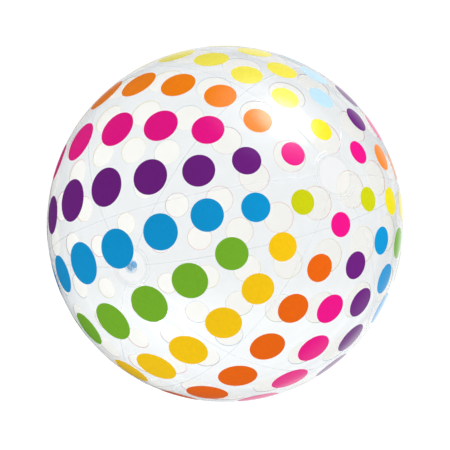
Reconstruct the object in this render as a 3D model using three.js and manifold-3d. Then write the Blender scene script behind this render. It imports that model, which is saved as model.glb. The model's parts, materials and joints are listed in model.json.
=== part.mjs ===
// Inflatable beach ball: six gores of clear vinyl film, an end disc at each pole, and a push-in valve.
// Units are millimetres and +Z is up. The origin is the middle of the flat patch that the ball rests on.
import * as THREE from 'three';
import { mergeVertices } from 'three/addons/utils/BufferGeometryUtils.js';
import Module from 'manifold-3d';

const wasm = await Module();
wasm.setup();

const degrees = THREE.MathUtils.degToRad;

// Film and ball
const BALL_RADIUS = 360;
const FILM = 0.3;
const GAP = 0.3; // clearance kept between pieces that are welded on the real ball
const GORE_COUNT = 6;
const AXIS_TILT = degrees(18); // how far the plain end's pole leans up from level
const REST_ANGLE = degrees(10.5); // half-angle of the flat patch, seen from the ball's centre
const PRESSED_ANGLE = 1.36 * REST_ANGLE; // corners of the mesh this close to the patch are drawn onto it
const REST_DEPTH = BALL_RADIUS * Math.cos(REST_ANGLE);

// End discs, which cover the gores' cut tips
const DISC_RADIUS = 50;
const DISC_ANGLE = Math.asin(DISC_RADIUS / BALL_RADIUS);
const TIP_ANGLE = degrees(3.5);
const DISC_INNER = BALL_RADIUS + GAP;
const DISC_OUTER = DISC_INNER + FILM;

// Mesh steps: gores and end discs share their rows and columns, so that their facets stay parallel
const COLUMNS_PER_GORE = 8;
const ROWS_BETWEEN_DISCS = 24;
const VALVE_SEGMENTS = 32;

// Valve heights are measured outward from the nominal surface at the valve's pole
const VALVE_HOLE_RADIUS = 12;
const FLANGE = { inner: 8.8, outer: 17, bottom: -1.3, top: -0.5 };
const STEM = { bore: 4.5, outer: 6.5, lip: 8, foot: 7.8, top: 1.5, lipBottom: 0.5, footTop: -13, bottom: -14 };
const BELLOWS = { wall: 0.8, neck: 9.8, waist: 9.2, root: 7.8, waistHeight: -10 };
const STOPPER = { head: 8.2, headEdge: 1.6, dome: 0.5, plug: 4.2, tip: 3.3, plugBottom: -3.5 };
const STRAP = { width: 5, thick: 0.8, hingeReach: 10.95, bend: 1.2 };
const FLAP = { radius: 5.6, thick: 0.7, tabWidth: 4, tabReach: 7.2 };

const film = new THREE.MeshStandardMaterial({
  color: 0xe6edf2,
  roughness: 0.08,
  metalness: 0,
  transparent: true,
  opacity: 0.35,
});
const softBluePlastic = new THREE.MeshStandardMaterial({ color: 0xbcdcf0, roughness: 0.3, metalness: 0 });

function named(name, geometry, material) {
  const mesh = new THREE.Mesh(geometry, material);
  mesh.name = name;
  return mesh;
}

// The ball group's +Y is the axis towards the plain end, and its +Z is as near to up as it can be.
const ball = new THREE.Group();
const plainEnd = new THREE.Vector3(0, -Math.cos(AXIS_TILT), Math.sin(AXIS_TILT));
const upside = new THREE.Vector3(0, Math.sin(AXIS_TILT), Math.cos(AXIS_TILT));
const sideways = new THREE.Vector3().crossVectors(plainEnd, upside);
ball.quaternion.setFromRotationMatrix(new THREE.Matrix4().makeBasis(sideways, plainEnd, upside));
ball.position.z = REST_DEPTH;
const DOWN = new THREE.Vector3(0, -Math.sin(AXIS_TILT), -Math.cos(AXIS_TILT));

// A point of the film at a polar angle and longitude, depth below its outer face, pressed flat at the floor
function filmPoint(polar, longitude, depth) {
  const ring = Math.sin(polar);
  const point = new THREE.Vector3(ring * Math.sin(longitude), Math.cos(polar), ring * Math.cos(longitude));
  const fromDown = point.angleTo(DOWN);
  if (fromDown > PRESSED_ANGLE) return point.multiplyScalar(BALL_RADIUS - depth);
  const reach = BALL_RADIUS * Math.sin(Math.min(fromDown, REST_ANGLE));
  const along = point.addScaledVector(DOWN, -point.dot(DOWN)).setLength(reach);
  return along.addScaledVector(DOWN, REST_DEPTH - depth);
}

// One closed sheet: an outer and an inner grid of points, joined along their edges
function closedSheet(rowCount, columnCount, pointAt) {
  const positions = [];
  const indices = [];
  const innerStart = rowCount * columnCount;
  for (const depth of [0, FILM]) {
    for (let row = 0; row < rowCount; row += 1) {
      for (let column = 0; column < columnCount; column += 1) {
        positions.push(...pointAt(row, column, depth).toArray());
      }
    }
  }
  const at = (row, column) => row * columnCount + column;
  const addQuad = (a, b, c, d) => {
    indices.push(a, b, c, a, c, d);
  };
  for (let row = 0; row < rowCount - 1; row += 1) {
    for (let column = 0; column < columnCount - 1; column += 1) {
      const corners = [
        at(row, column), at(row + 1, column), at(row + 1, column + 1), at(row, column + 1),
      ];
      addQuad(...corners);
      indices.push(...[0, 2, 1, 0, 3, 2].map((corner) => corners[corner] + innerStart));
    }
  }
  const edge = [];
  for (let row = 0; row < rowCount; row += 1) edge.push(at(row, 0));
  for (let column = 1; column < columnCount; column += 1) edge.push(at(rowCount - 1, column));
  for (let row = rowCount - 2; row >= 0; row -= 1) edge.push(at(row, columnCount - 1));
  for (let column = columnCount - 2; column > 0; column -= 1) edge.push(at(0, column));
  edge.forEach((from, step) => {
    const to = edge[(step + 1) % edge.length];
    addQuad(to, from, from + innerStart, to + innerStart);
  });
  const geometry = new THREE.BufferGeometry();
  geometry.setAttribute('position', new THREE.Float32BufferAttribute(positions, 3));
  geometry.setIndex(indices);
  geometry.computeVertexNormals();
  return geometry;
}

// A gore runs from tip to tip, with half the gap left along each seam
const gorePolars = [TIP_ANGLE];
for (let row = 0; row <= ROWS_BETWEEN_DISCS; row += 1) {
  gorePolars.push(DISC_ANGLE + ((Math.PI - 2 * DISC_ANGLE) * row) / ROWS_BETWEEN_DISCS);
}
gorePolars.push(Math.PI - TIP_ANGLE);

function gore(middleLongitude) {
  const width = (2 * Math.PI) / GORE_COUNT;
  return closedSheet(gorePolars.length, COLUMNS_PER_GORE + 1, (row, column, depth) => {
    const polar = gorePolars[row];
    const inset = GAP / 2 / (BALL_RADIUS * Math.sin(polar));
    const across = width * (column / COLUMNS_PER_GORE - 0.5);
    const limit = width / 2 - inset;
    return filmPoint(polar, middleLongitude + THREE.MathUtils.clamp(across, -limit, limit), depth);
  });
}

// panel_1 is on top, and the numbers run towards -X, so panel_4 is the one underneath
for (let index = 0; index < GORE_COUNT; index += 1) {
  ball.add(named(`panel_${index + 1}`, gore((index * 2 * Math.PI) / GORE_COUNT), film));
}

const arcPoint = (radius, polar) => new THREE.Vector2(radius * Math.sin(polar), radius * Math.cos(polar));

const plainDiscProfile = [
  new THREE.Vector2(0, DISC_INNER),
  arcPoint(DISC_INNER, TIP_ANGLE),
  arcPoint(DISC_INNER, DISC_ANGLE),
  arcPoint(DISC_OUTER, DISC_ANGLE),
  arcPoint(DISC_OUTER, TIP_ANGLE),
  new THREE.Vector2(0, DISC_OUTER),
];
const discSegments = GORE_COUNT * COLUMNS_PER_GORE;
ball.add(named('end_disc', new THREE.LatheGeometry(plainDiscProfile, discSegments), film));

// A lathe ring whose profile, given as [radius, height] pairs, closes on itself
function latheRing(pairs, segments = VALVE_SEGMENTS) {
  const profile = [...pairs, pairs[0]].map(([radius, height]) => new THREE.Vector2(radius, height));
  return new THREE.LatheGeometry(profile, segments);
}

const valveHoleAngle = Math.asin(VALVE_HOLE_RADIUS / BALL_RADIUS);
const holedDiscProfile = [
  arcPoint(DISC_INNER, valveHoleAngle),
  arcPoint(DISC_INNER, TIP_ANGLE),
  arcPoint(DISC_INNER, DISC_ANGLE),
  arcPoint(DISC_OUTER, DISC_ANGLE),
  arcPoint(DISC_OUTER, TIP_ANGLE),
  arcPoint(DISC_OUTER, valveHoleAngle),
].map((point) => point.toArray());
const valveEndDisc = named('valve_end_disc', latheRing(holedDiscProfile, discSegments), film);
valveEndDisc.rotation.z = Math.PI;
ball.add(valveEndDisc);

// The valve group sits on the valve's pole, with its +Y pointing out of the ball and its -Z underneath
const valve = new THREE.Group();
valve.position.y = -BALL_RADIUS;
valve.rotation.z = Math.PI;
ball.add(valve);

// The flange is welded to the inside of the valve's end disc
const flangeProfile = [
  [FLANGE.inner, FLANGE.bottom],
  [FLANGE.outer, FLANGE.bottom],
  [FLANGE.outer, FLANGE.top],
  [FLANGE.inner, FLANGE.top],
];
valve.add(named('valve_flange', latheRing(flangeProfile), softBluePlastic));

// The bellows is the thin sleeve that lets the stem be pushed in and pulled out
const bellowsTop = FLANGE.bottom - GAP;
const bellowsBottom = STEM.footTop + GAP;
const bellowsProfile = [
  [BELLOWS.root, bellowsBottom],
  [BELLOWS.waist, BELLOWS.waistHeight],
  [BELLOWS.neck, bellowsTop],
  [BELLOWS.neck - BELLOWS.wall, bellowsTop],
  [BELLOWS.waist - BELLOWS.wall, BELLOWS.waistHeight],
  [BELLOWS.root - BELLOWS.wall, bellowsBottom],
];
valve.add(named('valve_bellows', latheRing(bellowsProfile), softBluePlastic));

function toManifold(geometry) {
  const bare = geometry.clone();
  bare.deleteAttribute('normal');
  bare.deleteAttribute('uv');
  const merged = mergeVertices(bare);
  const triVerts = new Uint32Array(merged.index.array);
  return new wasm.Manifold(new wasm.Mesh({
    numProp: 3,
    vertProperties: merged.attributes.position.array,
    triVerts,
  }));
}

function fromManifold(solid) {
  const mesh = solid.getMesh();
  const geometry = new THREE.BufferGeometry();
  geometry.setAttribute('position', new THREE.BufferAttribute(mesh.vertProperties, 3));
  geometry.setIndex(new THREE.BufferAttribute(mesh.triVerts, 1));
  geometry.computeVertexNormals();
  return geometry;
}

// The stem has a lip that stops on the flange, a foot for the bellows, and a tab that holds the strap
function stemGeometry() {
  const tube = latheRing([
    [STEM.bore, STEM.bottom],
    [STEM.foot, STEM.bottom],
    [STEM.foot, STEM.footTop],
    [STEM.outer, STEM.footTop],
    [STEM.outer, STEM.lipBottom],
    [STEM.lip, STEM.lipBottom],
    [STEM.lip, STEM.top],
    [STEM.bore, STEM.top],
  ]);
  const lipHeight = STEM.top - STEM.lipBottom;
  const tabLength = STRAP.hingeReach - STEM.outer;
  const tab = new THREE.BoxGeometry(STRAP.width, lipHeight, tabLength);
  tab.translate(0, STEM.lipBottom + lipHeight / 2, -STEM.outer - tabLength / 2);
  return fromManifold(toManifold(tube).add(toManifold(tab)));
}
valve.add(named('valve_stem', stemGeometry(), softBluePlastic));

// The stopper's plug tapers, so that it swings clear of the bore on its strap
const headBottom = STEM.top + GAP;
const headTop = headBottom + STOPPER.headEdge;
const stopperProfile = [
  [0, STOPPER.plugBottom],
  [STOPPER.tip, STOPPER.plugBottom],
  [STOPPER.plug, headBottom],
  [STOPPER.head, headBottom],
  [STOPPER.head, headTop],
  [STOPPER.head * 0.7, headTop + STOPPER.dome * 0.7],
  [0, headTop + STOPPER.dome],
].map(([radius, height]) => new THREE.Vector2(radius, height));
valve.add(named('stopper', new THREE.LatheGeometry(stopperProfile, VALVE_SEGMENTS), softBluePlastic));

// The strap rises from the tab and bends over to the edge of the stopper's head
function strapGeometry() {
  const bendCentre = STRAP.hingeReach - STRAP.bend;
  const innerBend = STRAP.bend - STRAP.thick;
  const top = headBottom + STRAP.bend;
  const side = new THREE.Shape();
  side.moveTo(STRAP.hingeReach, headBottom);
  side.absarc(bendCentre, headBottom, STRAP.bend, 0, Math.PI / 2, false);
  side.lineTo(STOPPER.head + GAP, top);
  side.lineTo(STOPPER.head + GAP, top - STRAP.thick);
  side.lineTo(bendCentre, top - STRAP.thick);
  side.absarc(bendCentre, headBottom, innerBend, Math.PI / 2, 0, true);
  const geometry = new THREE.ExtrudeGeometry(side, {
    depth: STRAP.width,
    bevelEnabled: false,
    curveSegments: 5,
  });
  geometry.translate(0, 0, -STRAP.width / 2);
  geometry.rotateY(Math.PI / 2);
  return geometry;
}
valve.add(named('stopper_strap', strapGeometry(), softBluePlastic));

// The check flap covers the stem's inner end, and opens inwards on a tab at its edge
function flapGeometry() {
  const tabSpread = Math.asin(FLAP.tabWidth / 2 / FLAP.radius);
  const outline = new THREE.Shape();
  outline.absarc(0, 0, FLAP.radius, tabSpread, 2 * Math.PI - tabSpread, false);
  outline.lineTo(FLAP.tabReach, -FLAP.tabWidth / 2);
  outline.lineTo(FLAP.tabReach, FLAP.tabWidth / 2);
  const geometry = new THREE.ExtrudeGeometry(outline, {
    depth: FLAP.thick,
    bevelEnabled: false,
    curveSegments: 24,
  });
  geometry.rotateX(Math.PI / 2);
  geometry.rotateY(Math.PI / 2);
  geometry.translate(0, STEM.bottom - GAP, 0);
  return geometry;
}
valve.add(named('check_flap', flapGeometry(), softBluePlastic));

const beachBall = new THREE.Group();
beachBall.add(ball);

export default beachBall;
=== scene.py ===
"""Looks for an inflatable beach ball of clear vinyl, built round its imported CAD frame."""
import json
import math

import bmesh
import bpy
import numpy as np
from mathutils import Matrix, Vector


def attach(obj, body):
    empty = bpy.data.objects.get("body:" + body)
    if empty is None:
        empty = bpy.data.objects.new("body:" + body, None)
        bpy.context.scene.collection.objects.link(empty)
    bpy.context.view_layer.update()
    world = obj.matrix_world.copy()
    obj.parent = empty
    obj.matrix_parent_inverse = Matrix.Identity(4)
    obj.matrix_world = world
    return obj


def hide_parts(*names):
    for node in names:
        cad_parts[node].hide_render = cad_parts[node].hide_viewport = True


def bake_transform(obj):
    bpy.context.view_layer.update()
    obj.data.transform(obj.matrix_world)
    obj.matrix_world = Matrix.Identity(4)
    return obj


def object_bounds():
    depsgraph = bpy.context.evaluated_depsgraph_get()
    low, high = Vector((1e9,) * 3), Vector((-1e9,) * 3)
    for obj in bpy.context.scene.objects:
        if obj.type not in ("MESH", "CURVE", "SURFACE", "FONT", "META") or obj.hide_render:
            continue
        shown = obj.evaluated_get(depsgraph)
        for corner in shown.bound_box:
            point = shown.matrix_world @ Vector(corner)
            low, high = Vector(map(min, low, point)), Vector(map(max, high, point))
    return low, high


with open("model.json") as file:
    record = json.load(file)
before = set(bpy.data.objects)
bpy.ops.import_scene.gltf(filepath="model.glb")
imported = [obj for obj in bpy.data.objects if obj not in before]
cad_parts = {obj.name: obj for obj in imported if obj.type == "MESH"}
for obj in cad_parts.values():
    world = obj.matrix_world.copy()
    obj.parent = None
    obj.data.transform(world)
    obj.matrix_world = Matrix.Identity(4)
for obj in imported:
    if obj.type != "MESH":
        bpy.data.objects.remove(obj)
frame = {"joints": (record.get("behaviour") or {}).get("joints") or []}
cad_low, cad_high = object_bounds()

MM = 0.001

# ---------------------------------------------------------------- the ball's frame, from the CAD
GORES = 6
RADIUS = (cad_high.x - cad_low.x) / 2
CENTRE = np.array((0.0, 0.0, cad_high.z - RADIUS))
SLIDE = next(j for j in frame["joints"] if j["name"] == "stem_slide")
VALVE_AXIS = np.array(SLIDE["axis"]) / np.linalg.norm(SLIDE["axis"])
PLAIN_AXIS = -VALVE_AXIS
SIDE_AXIS = np.cross(PLAIN_AXIS, (0.0, 0.0, 1.0))
SIDE_AXIS /= np.linalg.norm(SIDE_AXIS)
UP_AXIS = np.cross(SIDE_AXIS, PLAIN_AXIS)

FILM = 0.3 * MM
DISC_RADIUS = 50 * MM
DISC_ANGLE = math.asin(DISC_RADIUS / RADIUS)
TIP_ANGLE = math.radians(5.7)   # the gores stop inside the welded rings of the end discs
GORE_ANGLE = 2 * math.pi / GORES

# ---------------------------------------------------------------- the film's relief
SEAM_LAP = 1.5 * MM            # each gore's edge runs this far past the seam's line
LAP_LIFT = 1.2 * FILM          # the upper edge of a lap lies on the lower one
LAP_EASE = 5 * MM              # how far before the lap the upper edge starts to rise
BEAD_HEIGHT = 0.18 * MM        # the two weld lines of a seam
BEAD_WIDTH = 0.45 * MM
BEAD_OFFSET = 0.9 * MM
BEAD_FADE = (0.08, 0.2)        # the lines fade out toward the ends, by the ring's size over the ball's
PUCKER_HEIGHT = 0.07 * MM
PUCKER_REACH = 13 * MM
PUCKER_WAVES = (9.1 * MM, 5.3 * MM)
PUCKER_DRIFT = 61 * MM         # the puckers' spacing drifts over this distance
SEAM_PHASE = 2.1               # each seam's puckers start at a different place
SLOW_HEIGHT = 0.12 * MM        # the film's slow waves between the seams
FLOOR_EASE = 0.9 * MM          # how softly the film bends up off the floor


def smoothstep(low, high, value):
    t = np.clip((value - low) / (high - low), 0, 1)
    return t * t * (3 - 2 * t)


def bell(value, width):
    return np.exp(-((value / width) ** 2))


def directions(polar, longitude):
    """Unit vectors at polar angles from the plain end and longitudes from the top."""
    polar, longitude = np.broadcast_arrays(polar, longitude)
    across = np.cos(longitude)[..., None] * UP_AXIS + np.sin(longitude)[..., None] * SIDE_AXIS
    return np.cos(polar)[..., None] * PLAIN_AXIS + np.sin(polar)[..., None] * across


def seam_place(direction):
    """Distance across from the nearest seam line, distance along it, its number, and the ring's size."""
    polar = np.arccos(np.clip(direction @ PLAIN_AXIS, -1, 1))
    turn = np.arctan2(direction @ SIDE_AXIS, direction @ UP_AXIS) / GORE_ANGLE - 0.5
    nearest = np.round(turn)
    ring = np.maximum(np.sin(polar), 1e-3)
    return (turn - nearest) * GORE_ANGLE * ring * RADIUS, polar * RADIUS, np.mod(nearest, GORES), ring


def relief(direction):
    """Height above the plain sphere: weld lines, puckers beside them, and the film's slow waves."""
    across, along, seam, ring = seam_place(direction)
    beads = BEAD_HEIGHT * (bell(across - BEAD_OFFSET, BEAD_WIDTH) + bell(across + BEAD_OFFSET, BEAD_WIDTH))
    beads *= smoothstep(*BEAD_FADE, ring)
    phase = SEAM_PHASE * seam
    wave = np.sin(along / PUCKER_WAVES[0] + phase + 2 * np.sin(along / PUCKER_DRIFT + phase))
    wave += 0.6 * np.sin(along / PUCKER_WAVES[1] + 1.7 * phase)
    toward_ends = 0.4 + 0.6 * bell(ring, 0.45)
    puckers = PUCKER_HEIGHT * wave * np.exp(-((np.abs(across) / PUCKER_REACH) ** 1.5)) * toward_ends
    x, y, z = np.moveaxis(direction, -1, 0)
    slow = np.sin(7 * x + 3 * y + 1.0) + np.sin(6 * y - 5 * z + 2.2) + np.sin(8 * z + 4 * x + 0.4)
    return beads + puckers + SLOW_HEIGHT * slow


def film_points(direction, lift, extra=0.0):
    """World points at a height over the film's outer face, where the floor presses the film flat."""
    height = RADIUS + lift + extra + relief(direction)
    points = CENTRE + direction * height[..., None]
    above = points[..., 2] + lift
    soft = FLOOR_EASE * np.log1p(np.exp(np.clip(above / FLOOR_EASE, -60, 8)))
    points[..., 2] = np.where(above > 8 * FLOOR_EASE, above, soft) - lift
    return points


# ---------------------------------------------------------------- mesh helpers
def new_object(name, points, faces, material, sharp=40):
    mesh = bpy.data.meshes.new(name)
    mesh.from_pydata([tuple(p) for p in points], [], faces)
    mesh.validate()
    mesh.polygons.foreach_set("use_smooth", [True] * len(mesh.polygons))
    mesh.set_sharp_from_angle(angle=math.radians(sharp))
    mesh.materials.append(material)
    obj = bpy.data.objects.new(name, mesh)
    bpy.context.scene.collection.objects.link(obj)
    return obj


def root_piece(name, points, faces, material, slot, *nodes):
    """A piece of the ball's skin, which stands for these CAD nodes."""
    piece = new_object(name, points, faces, material)
    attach(piece, "root")
    if nodes:
        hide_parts(*nodes)
    return piece


def closed_sheet(outer, inner):
    """Points and faces of a closed thin sheet between two grids of points, rows by columns."""
    rows, columns = outer.shape[:2]
    count = rows * columns
    faces = []
    for r in range(rows - 1):
        for c in range(columns - 1):
            a = r * columns + c
            quad = (a, a + columns, a + columns + 1, a + 1)
            faces.append(quad)
            faces.append(tuple(i + count for i in reversed(quad)))
    edge = [r * columns for r in range(rows)]
    edge += [(rows - 1) * columns + c for c in range(1, columns)]
    edge += [r * columns + columns - 1 for r in range(rows - 2, -1, -1)]
    edge += [c for c in range(columns - 2, 0, -1)]
    for here, there in zip(edge, edge[1:] + edge[:1]):
        faces.append((there, here, here + count, there + count))
    return np.concatenate([outer.reshape(-1, 3), inner.reshape(-1, 3)]), faces


def closed_rings(top, bottom):
    """Points and faces of a closed thin ring between two stacks of circles of points, inner circle first."""
    rings, segments = top.shape[:2]
    count = rings * segments
    faces = []
    for r in range(rings - 1):
        for s in range(segments):
            a, b = r * segments + s, r * segments + (s + 1) % segments
            faces.append((a, a + segments, b + segments, b))
            faces.append((a + count, b + count, b + segments + count, a + segments + count))
    last = (rings - 1) * segments
    for s in range(segments):
        a, b = s, (s + 1) % segments
        faces.append((last + a, last + a + count, last + b + count, last + b))
        faces.append((b, b + count, a + count, a))
    return np.concatenate([top.reshape(-1, 3), bottom.reshape(-1, 3)]), faces


def circles_on_film(axis, radii, segments):
    """Directions of circles about axis, one for each radius measured along the film."""
    helper = UP_AXIS if abs(axis @ UP_AXIS) < 0.9 else SIDE_AXIS
    u = np.cross(helper, axis)
    u /= np.linalg.norm(u)
    v = np.cross(axis, u)
    angle = np.linspace(0, 2 * math.pi, segments, endpoint=False)
    spoke = np.cos(angle)[:, None] * u + np.sin(angle)[:, None] * v
    bend = np.asarray(radii)[:, None, None] / RADIUS
    return np.cos(bend) * axis + np.sin(bend) * spoke


def round_patch(axis, radii, segments, low, high, extra=None):
    """A closed thin disc over the film between two heights, or a ring where the first radius isn't 0."""
    pinhole = 0.02 * MM
    around = circles_on_film(axis, np.maximum(radii, pinhole), segments)
    raised = 0.0 if extra is None else extra(around, radii)
    top = film_points(around, np.full(around.shape[:2], high), raised)
    bottom = film_points(around, np.full(around.shape[:2], low), raised)
    points, faces = closed_rings(top, bottom)
    if radii[0] > 0:
        return points, faces
    count = len(points) // 2
    hole = [face for face in faces if set(face) <= {*range(segments), *range(count, count + segments)}]
    faces = [face for face in faces if face not in set(hole)]
    faces.append(tuple(range(segments)))
    faces.append(tuple(reversed(range(count, count + segments))))
    return points, faces


def join_parts(parts):
    points, faces = [], []
    for part_points, part_faces in parts:
        start = len(points)
        points.extend(part_points)
        faces.extend(tuple(i + start for i in face) for face in part_faces)
    return points, faces


# ---------------------------------------------------------------- materials
def new_material(name):
    material = bpy.data.materials.new(name)
    material.use_nodes = True
    material.node_tree.nodes.clear()
    return material, material.node_tree


def add(tree, kind, **values):
    node = tree.nodes.new(kind)
    for key, value in values.items():
        setattr(node, key, value)
    return node


def noise_bump(tree, scale, detail, strength, distance):
    """Fine unevenness for a surface, as a normal."""
    coords = add(tree, "ShaderNodeTexCoord")
    noise = add(tree, "ShaderNodeTexNoise")
    noise.inputs["Scale"].default_value = scale
    noise.inputs["Detail"].default_value = detail
    bump = add(tree, "ShaderNodeBump")
    bump.inputs["Strength"].default_value = strength
    bump.inputs["Distance"].default_value = distance
    tree.links.new(coords.outputs["Object"], noise.inputs["Vector"])
    tree.links.new(noise.outputs["Fac"], bump.inputs["Height"])
    return bump.outputs["Normal"]


FACING_POWER = 5               # how late the film's gloss grows as it turns edge on
FILM_WAVES = dict(scale=60, detail=3, strength=0.03, distance=0.6 * MM)


def film_material(name, tint, gloss_color, metallic, roughness, facing_on, edge_on, glow=0.0):
    """Clear film: what is behind it shows through, and a gloss grows towards the edges."""
    material, tree = new_material(name)
    clear = add(tree, "ShaderNodeBsdfTransparent")
    clear.inputs["Color"].default_value = (*tint, 1)
    gloss = add(tree, "ShaderNodeBsdfPrincipled")
    gloss.inputs["Base Color"].default_value = (*gloss_color, 1)
    gloss.inputs["Metallic"].default_value = metallic
    gloss.inputs["Roughness"].default_value = roughness
    # glow makes the gloss give off light of its own: a painted glow, which only the weld lines use.
    gloss.inputs["Emission Strength"].default_value = glow
    facing = add(tree, "ShaderNodeLayerWeight")
    facing.inputs["Blend"].default_value = 0.5
    power = add(tree, "ShaderNodeMath", operation="POWER")
    power.inputs[1].default_value = FACING_POWER
    amount = add(tree, "ShaderNodeMath", operation="MULTIPLY_ADD")
    amount.inputs[1].default_value = edge_on - facing_on
    amount.inputs[2].default_value = facing_on
    mix = add(tree, "ShaderNodeMixShader")
    output = add(tree, "ShaderNodeOutputMaterial")
    link = tree.links.new
    link(noise_bump(tree, **FILM_WAVES), gloss.inputs["Normal"])
    link(facing.outputs["Facing"], power.inputs[0])
    link(power.outputs[0], amount.inputs[0])
    link(amount.outputs[0], mix.inputs["Fac"])
    link(clear.outputs[0], mix.inputs[1])
    link(gloss.outputs[0], mix.inputs[2])
    link(mix.outputs[0], output.inputs["Surface"])
    return material


def solid_material(name, color, roughness, specular, glow=0.0, alpha=1.0, grain=140, depth=0.93):
    """Ink or moulded vinyl, with a fine mottle in its colour."""
    material, tree = new_material(name)
    surface = add(tree, "ShaderNodeBsdfPrincipled")
    surface.inputs["Roughness"].default_value = roughness
    surface.inputs["Specular IOR Level"].default_value = specular
    surface.inputs["Alpha"].default_value = alpha
    # glow makes the surface give off its own colour: a painted glow, which only the dots' white backing uses.
    surface.inputs["Emission Color"].default_value = (*color, 1)
    surface.inputs["Emission Strength"].default_value = glow
    coords = add(tree, "ShaderNodeTexCoord")
    noise = add(tree, "ShaderNodeTexNoise")
    noise.inputs["Scale"].default_value = grain
    noise.inputs["Detail"].default_value = 5
    ramp = add(tree, "ShaderNodeValToRGB")
    ramp.color_ramp.elements[0].position = 0.3
    ramp.color_ramp.elements[0].color = (*[depth * part for part in color], 1)
    ramp.color_ramp.elements[1].position = 0.7
    ramp.color_ramp.elements[1].color = (*color, 1)
    output = add(tree, "ShaderNodeOutputMaterial")
    link = tree.links.new
    link(coords.outputs["Object"], noise.inputs["Vector"])
    link(noise.outputs["Fac"], ramp.inputs["Fac"])
    link(ramp.outputs["Color"], surface.inputs["Base Color"])
    pores = noise_bump(tree, scale=3 * grain, detail=2, strength=0.12, distance=0.1 * MM)
    link(pores, surface.inputs["Normal"])
    link(surface.outputs[0], output.inputs["Surface"])
    return material


COOL_GLOSS = (0.95, 0.97, 1.0)
disc_film = film_material(
    "clear_disc_film", tint=(0.988, 0.990, 0.990), gloss_color=COOL_GLOSS,
    metallic=1.0, roughness=0.08, facing_on=0.010, edge_on=0.40,
)
film = film_material(
    "clear_film", tint=(0.966, 0.973, 0.976), gloss_color=COOL_GLOSS,
    metallic=1.0, roughness=0.08, facing_on=0.012, edge_on=0.40,
)
# The weld lines' glow is painted highlight: it stands in for the light that the weld edges catch.
weld = film_material(
    "weld_line_film_painted_glow", tint=(0.99, 0.99, 0.99), gloss_color=(0.97, 0.98, 0.99),
    metallic=0.0, roughness=0.25, facing_on=0.12, edge_on=0.30, glow=0.25,
)

INK_COLORS = {
    "orange": (0.93, 0.225, 0.001),
    # A darker copy of the orange ink: painted shade on the dots of the gore along the bottom.
    "deep_orange": (0.80, 0.125, 0.001),
    "pink": (0.81, 0.003, 0.235),
    "purple": (0.145, 0.012, 0.20),
    "blue": (0.0002, 0.29, 0.63),
    "green": (0.17, 0.43, 0.021),
    "lime": (0.57, 0.60, 0.002),
    "gold": (0.90, 0.55, 0.001),
    "yellow": (0.84, 0.73, 0.004),
    # Paler copies of the yellow and blue inks: painted highlight on the dots of the gore along the top.
    "lemon": (0.92, 0.82, 0.09),
    "sky": (0.50, 0.74, 0.90),
}
# The painted shade and painted highlight copies go in the slots of the inks they copy.
INK_SLOTS = {"deep_orange": "ink_orange", "gold": "ink_yellow", "lemon": "ink_yellow", "sky": "ink_blue"}
inks = {
    name: solid_material("print_" + name, color, roughness=0.16, specular=0.3)
    for name, color in INK_COLORS.items()
}
# The white backing's glow is painted light: it stands in for the light that comes through the clear film onto
# the inside of the prints.
backing_ink_with_painted_glow = solid_material(
    "print_white_backing_painted_glow", (0.83, 0.815, 0.785), roughness=0.4, specular=0.2, glow=0.26, depth=0.97,
)

# ---------------------------------------------------------------- gores
GORE_ROWS = 200
MIDDLE_COLUMNS = 44
BESIDE_SEAM = np.array((2.2, 3.2, 4.6, 6.4, 9, 13, 18)) * MM
SEAM_STEPS = np.concatenate([np.linspace(-SEAM_LAP, SEAM_LAP, 11), BESIDE_SEAM])
WELD_WIDTH = 0.55 * MM
WELD_LOW, WELD_HIGH = 0.04 * MM, 0.12 * MM
SEAM_FULL_SIZE = 24 * MM       # a narrower half gore has all its seam steps drawn in


def gore_columns(half_width):
    """Places across a gore from its middle, closer together at its two edges."""
    near_edge = half_width - SEAM_STEPS * min(1.0, half_width / SEAM_FULL_SIZE)
    inner = near_edge[-1]
    middle = np.linspace(-inner, inner, MIDDLE_COLUMNS)[1:-1]
    return np.concatenate([-near_edge, middle, near_edge[::-1]])


def make_gore(index):
    rows, lifts = [], []
    for polar in np.linspace(TIP_ANGLE, math.pi - TIP_ANGLE, GORE_ROWS):
        ring = RADIUS * math.sin(polar)
        half_width = ring * GORE_ANGLE / 2
        across = gore_columns(half_width)
        rows.append(directions(polar, index * GORE_ANGLE + across / ring))
        lifts.append(LAP_LIFT * smoothstep(-SEAM_LAP - LAP_EASE, -SEAM_LAP, across - half_width))
    around, lap = np.array(rows), np.array(lifts)
    outer = film_points(around, np.zeros_like(lap), lap)
    inner = film_points(around, np.full_like(lap, -FILM), lap)
    node = f"panel_{index + 1}"
    root_piece("film_" + node, *closed_sheet(outer, inner), film, "clear_vinyl", node)


def make_seam_weld(index):
    """The frosted lines that the welding tool leaves along the two edges of a seam; their glow is painted
    highlight, standing in for the light that the weld edges catch.
    """
    seam = (index + 0.5) * GORE_ANGLE
    polars = np.linspace(DISC_ANGLE, math.pi - DISC_ANGLE, GORE_ROWS)
    parts = []
    for side in (-1, 1):
        place = side * BEAD_OFFSET + np.linspace(-0.5, 0.5, 4) * WELD_WIDTH
        ring = RADIUS * np.sin(polars)[:, None]
        scale = np.minimum(1.0, ring * GORE_ANGLE / 2 / SEAM_FULL_SIZE)
        around = directions(polars[:, None], seam + place * scale / ring)
        lap = np.full(around.shape[:2], LAP_LIFT)
        outer = film_points(around, np.full_like(lap, WELD_HIGH), lap)
        inner = film_points(around, np.full_like(lap, WELD_LOW), lap)
        parts.append(closed_sheet(outer, inner))
    root_piece(f"weld_lines_{index + 1}", *join_parts(parts), weld, "clear_vinyl")


for gore_index in range(GORES):
    make_gore(gore_index)
    make_seam_weld(gore_index)

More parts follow.
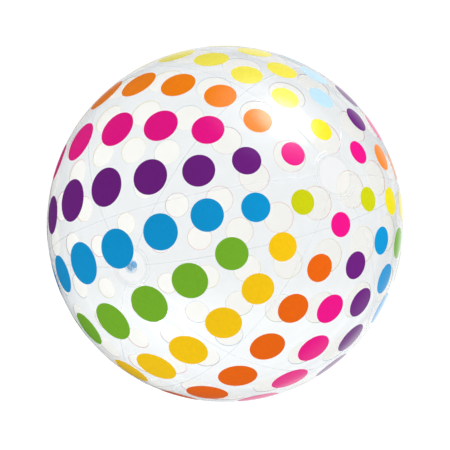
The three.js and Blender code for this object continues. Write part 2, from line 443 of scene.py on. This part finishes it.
# ---------------------------------------------------------------- printed dots
RINGS_TO_MIDDLE = 6
FIRST_RING = math.radians(15)
RING_CROWDING = math.radians(2.3)
DOT_FIRST = 0.066 * RADIUS
DOT_STEP = 0.0099 * RADIUS
MIDDLE_ROW_SHIFT = math.radians(1.4)
INK_LOW, INK_HIGH = 0.06 * MM, 0.16 * MM
BACKING_LOW, BACKING_HIGH = -FILM - 0.14 * MM, -FILM - 0.06 * MM
BACKING_INSET = 0.5 * MM
DOT_CIRCLES, DOT_SEGMENTS = 9, 48

# The left, middle and right rows of each gore, then the single dot at each of its ends
# The first gore runs along the top and the fourth along the bottom: the first one's paler inks are painted
# highlight, the fourth one's darker orange is painted shade.
GORE_COLORS = (
    ("sky", "lemon", "lemon", "yellow"),
    ("orange", "pink", "purple", "pink"),
    ("blue", "green", "gold", "lime"),
    ("deep_orange", "pink", "purple", "pink"),
    ("blue", "green", "yellow", "lime"),
    ("orange", "pink", "purple", "pink"),
)


def ring_polar(number):
    """Polar angle of a ring of dots, counted from 1 at the plain end to 6 at the middle."""
    t = (number - 1) / (RINGS_TO_MIDDLE - 1)
    return FIRST_RING + (math.pi / 2 - FIRST_RING) * t - RING_CROWDING * math.sin(math.pi * t)


def dots_in_ring(number, colors):
    """The dots across a gore in one ring, as places in gore widths and colors."""
    left, middle, right, single = colors
    if number == 1:
        return ((0, single),)
    if number == 2:
        return ((-0.25, left), (0.25, right))
    return ((-1 / 3, left), (0, middle), (1 / 3, right))


def gore_dots(index):
    """Every dot of a gore, as its color, direction and radius."""
    for number in range(1, RINGS_TO_MIDDLE + 1):
        radius = DOT_FIRST + DOT_STEP * (number - 1)
        for place, color in dots_in_ring(number, GORE_COLORS[index]):
            shifted = place == 0 and 2 < number < RINGS_TO_MIDDLE
            polar = ring_polar(number) - (MIDDLE_ROW_SHIFT if shifted else 0)
            ends = (polar, math.pi - polar) if number < RINGS_TO_MIDDLE else (polar,)
            for end in ends:
                yield color, directions(np.array(end), np.array((index + place) * GORE_ANGLE)), radius


def make_dots(index):
    printed, backing = {}, []
    steps = np.linspace(0, 1, DOT_CIRCLES)
    for color, axis, radius in gore_dots(index):
        dot = round_patch(axis, steps * radius, DOT_SEGMENTS, INK_LOW, INK_HIGH)
        printed.setdefault(color, []).append(dot)
        inside = steps * (radius - BACKING_INSET)
        backing.append(round_patch(axis, inside, DOT_SEGMENTS, BACKING_LOW, BACKING_HIGH))
    for color, parts in printed.items():
        slot = INK_SLOTS.get(color, "ink_" + color)
        root_piece(f"dots_{color}_{index + 1}", *join_parts(parts), inks[color], slot)
    root_piece(f"dots_backing_{index + 1}", *join_parts(backing), backing_ink_with_painted_glow, "ink_white")


for gore_index in range(GORES):
    make_dots(gore_index)

# ---------------------------------------------------------------- end discs
DISC_LIFT = LAP_LIFT + 0.05 * MM
WELD_RINGS = (42 * MM, 47.5 * MM)
WELD_RING_HEIGHT = 0.5 * MM
WELD_RING_WIDTH = 1.1 * MM
WELD_RING_LINE = 0.7 * MM      # half the width of the frosted line on each ring, whose glow is painted highlight
VALVE_HOLE_RADIUS = 12 * MM
DISC_CIRCLES, DISC_SEGMENTS = 76, 120


def disc_relief(around, radii):
    """The welded rings near a disc's edge."""
    rings = sum(bell(np.asarray(radii) - ring, WELD_RING_WIDTH) for ring in WELD_RINGS)
    return np.broadcast_to(WELD_RING_HEIGHT * rings[:, None], around.shape[:2])


def make_end_disc(axis, first_radius, name, node):
    radii = np.linspace(first_radius, DISC_RADIUS, DISC_CIRCLES)
    high = DISC_LIFT + FILM
    disc = round_patch(axis, radii, DISC_SEGMENTS, DISC_LIFT, high, disc_relief)
    root_piece(name, *disc, disc_film, "clear_vinyl", node)
    # The lines on the welded rings share the weld lines' painted highlight glow.
    lines = []
    for ring in WELD_RINGS:
        line = np.linspace(ring - WELD_RING_LINE, ring + WELD_RING_LINE, 5)
        lines.append(round_patch(axis, line, DISC_SEGMENTS, high + WELD_LOW, high + WELD_HIGH, disc_relief))
    root_piece(name + "_weld", *join_parts(lines), weld, "clear_vinyl")


make_end_disc(PLAIN_AXIS, 0.0, "film_end_disc", "end_disc")
make_end_disc(VALVE_AXIS, VALVE_HOLE_RADIUS, "film_valve_end_disc", "valve_end_disc")

# ---------------------------------------------------------------- valve
VALVE_ORIGIN = CENTRE + RADIUS * VALVE_AXIS
VALVE_SIDE = np.array((1.0, 0.0, 0.0))
VALVE_UNDER = -UP_AXIS
valve_clear = solid_material(
    "valve_clear_vinyl", (0.62, 0.80, 0.95), roughness=0.25, specular=0.5, alpha=0.35, grain=400,
)
valve_blue = solid_material(
    "valve_blue_vinyl", (0.22, 0.52, 0.88), roughness=0.30, specular=0.5, alpha=0.88, grain=400,
)


def valve_points(local):
    """Points of the valve given in millimetres: to the side, out of the ball, and underneath."""
    side, out, under = np.moveaxis(np.asarray(local, float) * MM, -1, 0)
    place = side[..., None] * VALVE_SIDE + out[..., None] * VALVE_AXIS + under[..., None] * VALVE_UNDER
    return VALVE_ORIGIN + place


def rounded(outline, radius, steps=4):
    """A closed outline with each corner replaced by a short curve."""
    corners = [np.array(corner, float) for corner in outline]
    result = []
    for index, corner in enumerate(corners):
        before = corners[index - 1] - corner
        after = corners[(index + 1) % len(corners)] - corner
        cut = min(radius, 0.45 * np.linalg.norm(before), 0.45 * np.linalg.norm(after))
        start = corner + before / np.linalg.norm(before) * cut
        end = corner + after / np.linalg.norm(after) * cut
        for t in np.linspace(0, 1, steps + 1):
            result.append((1 - t) ** 2 * start + 2 * t * (1 - t) * corner + t * t * end)
    return np.array(result)


def turned(outline, segments=72):
    """A ring turned about the valve's axis from a closed outline of radius and height pairs."""
    angle = np.linspace(0, 2 * math.pi, segments, endpoint=False)
    radius, height = outline[:, 0, None], outline[:, 1, None]
    local = np.stack([radius * np.cos(angle), height + 0 * angle, radius * np.sin(angle)], axis=-1)
    rows = len(outline)
    faces = []
    for r in range(rows):
        following = (r + 1) % rows
        for s in range(segments):
            beside = (s + 1) % segments
            here, there = r * segments, following * segments
            faces.append((here + s, there + s, there + beside, here + beside))
    return valve_points(local.reshape(-1, 3)), faces


def prism(outline, low, high, place):
    """A closed slab from an outline of pairs, with place(u, v, w) giving its millimetre points."""
    count = len(outline)
    points = [place(u, v, w) for w in (low, high) for u, v in outline]
    faces = [tuple(range(count)), tuple(reversed(range(count, 2 * count)))]
    for i in range(count):
        j = (i + 1) % count
        faces.append((i, i + count, j + count, j))
    return valve_points(points), faces


def recalculate_normals(obj):
    mesh = obj.data
    work = bmesh.new()
    work.from_mesh(mesh)
    bmesh.ops.recalc_face_normals(work, faces=work.faces)
    work.to_mesh(mesh)
    work.free()


def valve_piece(name, parts, material, body, node, bevel=0.0):
    piece = new_object(name, *join_parts(parts), material, sharp=35)
    recalculate_normals(piece)
    if bevel:
        softened = piece.modifiers.new("moulded_edges", "BEVEL")
        softened.width = bevel * MM
        softened.segments = 3
        softened.limit_method = "ANGLE"
        softened.angle_limit = math.radians(50)
    if body:
        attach(piece, body)
    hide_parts(node)
    return piece


# The outlines below are in millimetres from the valve's origin. A turned one gives radius, then height
# out of the ball.

# The flange, welded inside the disc, with a raised ring round its hole and a thin rim
valve_piece("valve_flange_ring", [turned(rounded((
    (8.9, -1.35), (10.6, -1.35), (11.0, -1.2), (15.2, -1.1), (16.9, -0.95), (16.9, -0.55),
    (13, -0.5), (11.6, -0.42), (10.2, -0.5), (8.9, -0.5),
), 0.18))], valve_clear, "root", "valve_flange")

# The bellows, a thin sleeve whose narrower lower half turns up inside its upper half as the stem slides out
BELLOWS_TOP, BELLOWS_FOLD, BELLOWS_BOTTOM = -1.5, -6.6, -12.8
BELLOWS_WALL = 0.5
BELLOWS_RADIUS = 9.8
BELLOWS_NARROWING = 1.4
BELLOWS_CURL = 0.6             # its bottom edge curls in to meet the stem's foot
BELLOWS_ROWS = 52


def bellows_outline():
    heights = np.linspace(BELLOWS_TOP, BELLOWS_BOTTOM, BELLOWS_ROWS)
    down = (BELLOWS_TOP - heights) / (BELLOWS_TOP - BELLOWS_BOTTOM)
    narrowed = BELLOWS_NARROWING * smoothstep(0.40, 0.72, down)
    curled = BELLOWS_CURL * smoothstep(0.96, 1, down)
    radius = BELLOWS_RADIUS - narrowed - curled
    outer = np.stack([radius, heights], axis=-1)
    inner = np.stack([radius - BELLOWS_WALL, heights], axis=-1)[::-1]
    return np.concatenate([outer, inner])


bellows = valve_piece("valve_bellows_sleeve", [turned(bellows_outline())], valve_clear, None, "valve_bellows")
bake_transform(bellows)

# The stem, a tube with a lip to stop on, a foot, grip rings and the strap's tab
STEM_BORE, STEM_OUTER, STEM_RIB = 4.5, 6.4, 6.62
STEM_BOTTOM = -14
STEM_RIBS = (-6.4, -3.6)       # where each grip ring starts
RIB_SLOPE, RIB_LENGTH = 0.3, 1.0


def stem_outline():
    outline = [(STEM_BORE, STEM_BOTTOM), (7.7, STEM_BOTTOM), (7.8, -13.1), (6.6, -13), (STEM_OUTER, -10)]
    for start in STEM_RIBS:
        end = start + RIB_LENGTH
        outline += [(STEM_OUTER, start), (STEM_RIB, start + RIB_SLOPE)]
        outline += [(STEM_RIB, end - RIB_SLOPE), (STEM_OUTER, end)]
    outline += [(6.45, 0.45), (7.9, 0.55), (8.0, 1.4), (7.2, 1.52), (5.2, 1.5), (STEM_BORE, 1.2)]
    return outline


TAB_HALF_WIDTH = 2.5
TAB_START, TAB_END = 6.2, 10.55
TAB_LOW, TAB_HIGH = 0.55, 1.5
tab_corners = [
    (-TAB_HALF_WIDTH, TAB_START), (TAB_HALF_WIDTH, TAB_START),
    (TAB_HALF_WIDTH, TAB_END), (-TAB_HALF_WIDTH, TAB_END),
]
stem_tube = turned(rounded(stem_outline(), 0.25))
stem_tab = prism(rounded(tab_corners, 0.7), TAB_LOW, TAB_HIGH, lambda side, under, out: (side, out, under))

# The living hinge: a web from the tab to a bead round the hinge's axis, on which the strap's end turns
HINGE_REACH, HINGE_HEIGHT, HINGE_BEAD = 10.95, 1.65, 0.2
STRAP_HALF_WIDTH = 2.4
hinge_web = [(10.3, 1.05), (10.3, 1.45)]
for turn in np.radians(np.linspace(150, -60, 12)):
    hinge_web.append((HINGE_REACH + HINGE_BEAD * math.cos(turn), HINGE_HEIGHT + HINGE_BEAD * math.sin(turn)))
stem_hinge = prism(
    hinge_web, -STRAP_HALF_WIDTH, STRAP_HALF_WIDTH, lambda under, out, side: (side, out, under),
)
stem_parts = [stem_tube, stem_tab, stem_hinge]
valve_piece("valve_stem_tube", stem_parts, valve_blue, "valve_stem", "valve_stem", bevel=0.12)

# The stopper, a domed head with a groove round it and a plug with a sealing ring
ON_AXIS = 0.02                 # a turned outline stops just short of the axis
stopper_body = turned(rounded((
    (ON_AXIS, -3.5), (2.9, -3.5), (3.4, -3.1), (3.75, -1.5), (4.05, -1.1), (4.05, -0.6),
    (3.85, -0.2), (4.1, 1.8), (7.9, 1.82), (8.2, 2.2), (8.2, 3.1), (7.9, 3.42),
    (6.4, 3.5), (6.1, 3.35), (5.6, 3.4), (2.5, 3.85), (ON_AXIS, 3.9),
), 0.22))
valve_piece("stopper_cap", [stopper_body], valve_blue, "stopper", "stopper")

# The strap, bent over from the hinge toward the edge of the stopper's head
strap = prism(
    rounded((
        (10.92, 1.88), (10.85, 2.6), (10.35, 2.95), (9.7, 3.0), (8.55, 3.0), (8.55, 2.25),
        (9.7, 2.25), (10.1, 2.15), (10.2, 1.88),
    ), 0.35), -STRAP_HALF_WIDTH, STRAP_HALF_WIDTH,
    lambda under, out, side: (side, out, under),
)
valve_piece("stopper_strap_hinge", [strap], valve_blue, "stopper", "stopper_strap", bevel=0.15)

# The check flap, a thin disc with its hinge tab
FLAP_RADIUS = 5.55
FLAP_TAB_HALF_WIDTH = 1.9
FLAP_TAB_REACH = 7.15
FLAP_LOW, FLAP_HIGH = -14.95, -14.35
FLAP_SEGMENTS = 48
flap_spread = math.asin(FLAP_TAB_HALF_WIDTH / FLAP_RADIUS)
flap_arc = np.linspace(flap_spread, 2 * math.pi - flap_spread, FLAP_SEGMENTS)
flap_outline = [(FLAP_RADIUS * math.sin(a), FLAP_RADIUS * math.cos(a)) for a in flap_arc]
flap_outline += [(-FLAP_TAB_HALF_WIDTH, FLAP_TAB_REACH), (FLAP_TAB_HALF_WIDTH, FLAP_TAB_REACH)]
flap = prism(flap_outline, FLAP_LOW, FLAP_HIGH, lambda side, under, out: (side, out, under))
valve_piece("check_flap_disc", [flap], valve_blue, "check_flap", "check_flap", bevel=0.12)

# ---------------------------------------------------------------- camera
CAMERA_AZIMUTH = math.radians(-37.1)
CAMERA_ELEVATION = math.radians(4)
CAMERA_DISTANCE = 10.1 * RADIUS
CAMERA_AIM_DROP = 2 * MM
CAMERA_SENSOR, CAMERA_LENS = 36, 143.2
camera_data = bpy.data.cameras.new("camera")
camera_data.sensor_width = CAMERA_SENSOR
camera_data.lens = CAMERA_LENS
camera = bpy.data.objects.new("camera", camera_data)
bpy.context.scene.collection.objects.link(camera)
bpy.context.scene.camera = camera
to_camera = Vector((
    math.sin(CAMERA_AZIMUTH) * math.cos(CAMERA_ELEVATION),
    -math.cos(CAMERA_AZIMUTH) * math.cos(CAMERA_ELEVATION),
    math.sin(CAMERA_ELEVATION),
))
camera_turn = to_camera.to_track_quat("Z", "Y")
camera.location = Vector(CENTRE) - Vector((0, 0, CAMERA_AIM_DROP)) + to_camera * CAMERA_DISTANCE
camera.rotation_euler = camera_turn.to_euler()

# ---------------------------------------------------------------- floor
FLOOR_FULL = 1.3               # the floor is solid white up to this radius
FLOOR_END = 2.7                # and has faded out at this one
FLOOR_GLOW = 1.13
FLOOR_HEIGHT = -0.5 * MM       # just under the ball's flat
FLOOR_SEGMENTS = 96


def floor_material():
    """A lit white sweep that fades out into the white backdrop."""
    material, tree = new_material("floor_white")
    coords = add(tree, "ShaderNodeTexCoord")
    length = add(tree, "ShaderNodeVectorMath", operation="LENGTH")
    fade = add(tree, "ShaderNodeMapRange", interpolation_type="SMOOTHSTEP")
    fade.inputs["From Min"].default_value = FLOOR_FULL
    fade.inputs["From Max"].default_value = FLOOR_END
    glow = add(tree, "ShaderNodeEmission")
    glow.inputs["Color"].default_value = (1, 1, 1, 1)
    glow.inputs["Strength"].default_value = FLOOR_GLOW
    clear = add(tree, "ShaderNodeBsdfTransparent")
    mix = add(tree, "ShaderNodeMixShader")
    output = add(tree, "ShaderNodeOutputMaterial")
    link = tree.links.new
    link(coords.outputs["Object"], length.inputs[0])
    link(length.outputs["Value"], fade.inputs["Value"])
    link(fade.outputs["Result"], mix.inputs["Fac"])
    link(glow.outputs[0], mix.inputs[1])
    link(clear.outputs[0], mix.inputs[2])
    link(mix.outputs[0], output.inputs["Surface"])
    return material


def make_floor():
    rim = []
    for step in range(FLOOR_SEGMENTS):
        angle = 2 * math.pi * step / FLOOR_SEGMENTS
        rim.append((FLOOR_END * math.cos(angle), FLOOR_END * math.sin(angle), FLOOR_HEIGHT))
    floor = new_object("floor", rim, [tuple(range(FLOOR_SEGMENTS))], floor_material())
    floor.visible_glossy = False


make_floor()


# ---------------------------------------------------------------- light
def from_camera(right, up, back):
    """A world direction, from its parts to the camera's right, upward and back toward the camera."""
    return (camera_turn @ Vector((right, up, back))).normalized()


LIGHT_DISTANCE = 2.4
LIGHT_SIZE = 1.4


def area_light(name, direction, watts):
    """A softbox that lights the prints but leaves reflections to the studio round the ball."""
    data = bpy.data.lights.new(name, "AREA")
    data.shape = "DISK"
    data.size = LIGHT_SIZE
    data.energy = watts
    light = bpy.data.objects.new(name, data)
    light.visible_glossy = False
    bpy.context.scene.collection.objects.link(light)
    light.location = Vector(CENTRE) + direction * LIGHT_DISTANCE
    light.rotation_euler = direction.to_track_quat("Z", "Y").to_euler()


DIM_ROOM = (0.80, 0.88, 1.0)
DIM_ROOM_STRENGTH = 0.07
WHITE = (1, 1, 1)
CLEAR_BOUNCES = 32             # enough for a ray to cross every sheet of film in its way


class Studio:
    """The room: white to the eye and as fill light, and dim with soft panels where the gloss reflects it."""

    def __init__(self):
        world = bpy.data.worlds.new("studio")
        bpy.context.scene.world = world
        world.use_nodes = True
        self.tree = world.node_tree
        self.tree.nodes.clear()
        self.coords = add(self.tree, "ShaderNodeTexCoord")
        self.reflected = self.background(DIM_ROOM, DIM_ROOM_STRENGTH)

    def background(self, color, strength):
        node = add(self.tree, "ShaderNodeBackground")
        node.inputs["Color"].default_value = (*color, 1)
        node.inputs["Strength"].default_value = strength
        return node

    def panel(self, direction, full, end, strength):
        """A soft round panel: full within one angle, in degrees, and gone by the other."""
        link = self.tree.links.new
        toward = add(self.tree, "ShaderNodeVectorMath", operation="DOT_PRODUCT")
        toward.inputs[1].default_value = direction
        soft = add(self.tree, "ShaderNodeMapRange", interpolation_type="SMOOTHSTEP")
        soft.inputs["From Min"].default_value = math.cos(math.radians(end))
        soft.inputs["From Max"].default_value = math.cos(math.radians(full))
        soft.inputs["To Max"].default_value = strength
        glow = self.background(WHITE, 1)
        total = add(self.tree, "ShaderNodeAddShader")
        link(self.coords.outputs["Generated"], toward.inputs[0])
        link(toward.outputs["Value"], soft.inputs["Value"])
        link(soft.outputs["Result"], glow.inputs["Strength"])
        link(self.reflected.outputs[0], total.inputs[0])
        link(glow.outputs[0], total.inputs[1])
        self.reflected = total

    def finish(self, seen, fill):
        link = self.tree.links.new
        path = add(self.tree, "ShaderNodeLightPath")
        lit = add(self.tree, "ShaderNodeMixShader")
        choose = add(self.tree, "ShaderNodeMixShader")
        output = add(self.tree, "ShaderNodeOutputWorld")
        link(path.outputs["Is Camera Ray"], lit.inputs["Fac"])
        link(self.background(WHITE, fill).outputs[0], lit.inputs[1])
        link(self.background(WHITE, seen).outputs[0], lit.inputs[2])
        link(path.outputs["Is Glossy Ray"], choose.inputs["Fac"])
        link(lit.outputs[0], choose.inputs[1])
        link(self.reflected.outputs[0], choose.inputs[2])
        link(choose.outputs[0], output.inputs["Surface"])


area_light("key_light", from_camera(0.80, 0.50, 0.35), watts=21)
area_light("back_light", from_camera(-0.60, 0.55, -0.60), watts=13)
studio = Studio()
studio.panel(from_camera(0.49, 0.86, 0.14), full=6, end=18, strength=16)
studio.panel(from_camera(0.40, 0.90, 0.17), full=8, end=36, strength=3)
studio.panel(from_camera(0.24, 0.25, -0.94), full=14, end=32, strength=0.75)
studio.panel(from_camera(0.26, -0.30, -0.92), full=8, end=22, strength=0.8)
studio.panel(from_camera(0.50, -0.50, -0.65), full=8, end=30, strength=0.5)
studio.finish(seen=1.03, fill=0.88)

bpy.context.scene.view_settings.view_transform = "Standard"
bpy.context.scene.cycles.transparent_max_bounces = CLEAR_BOUNCES
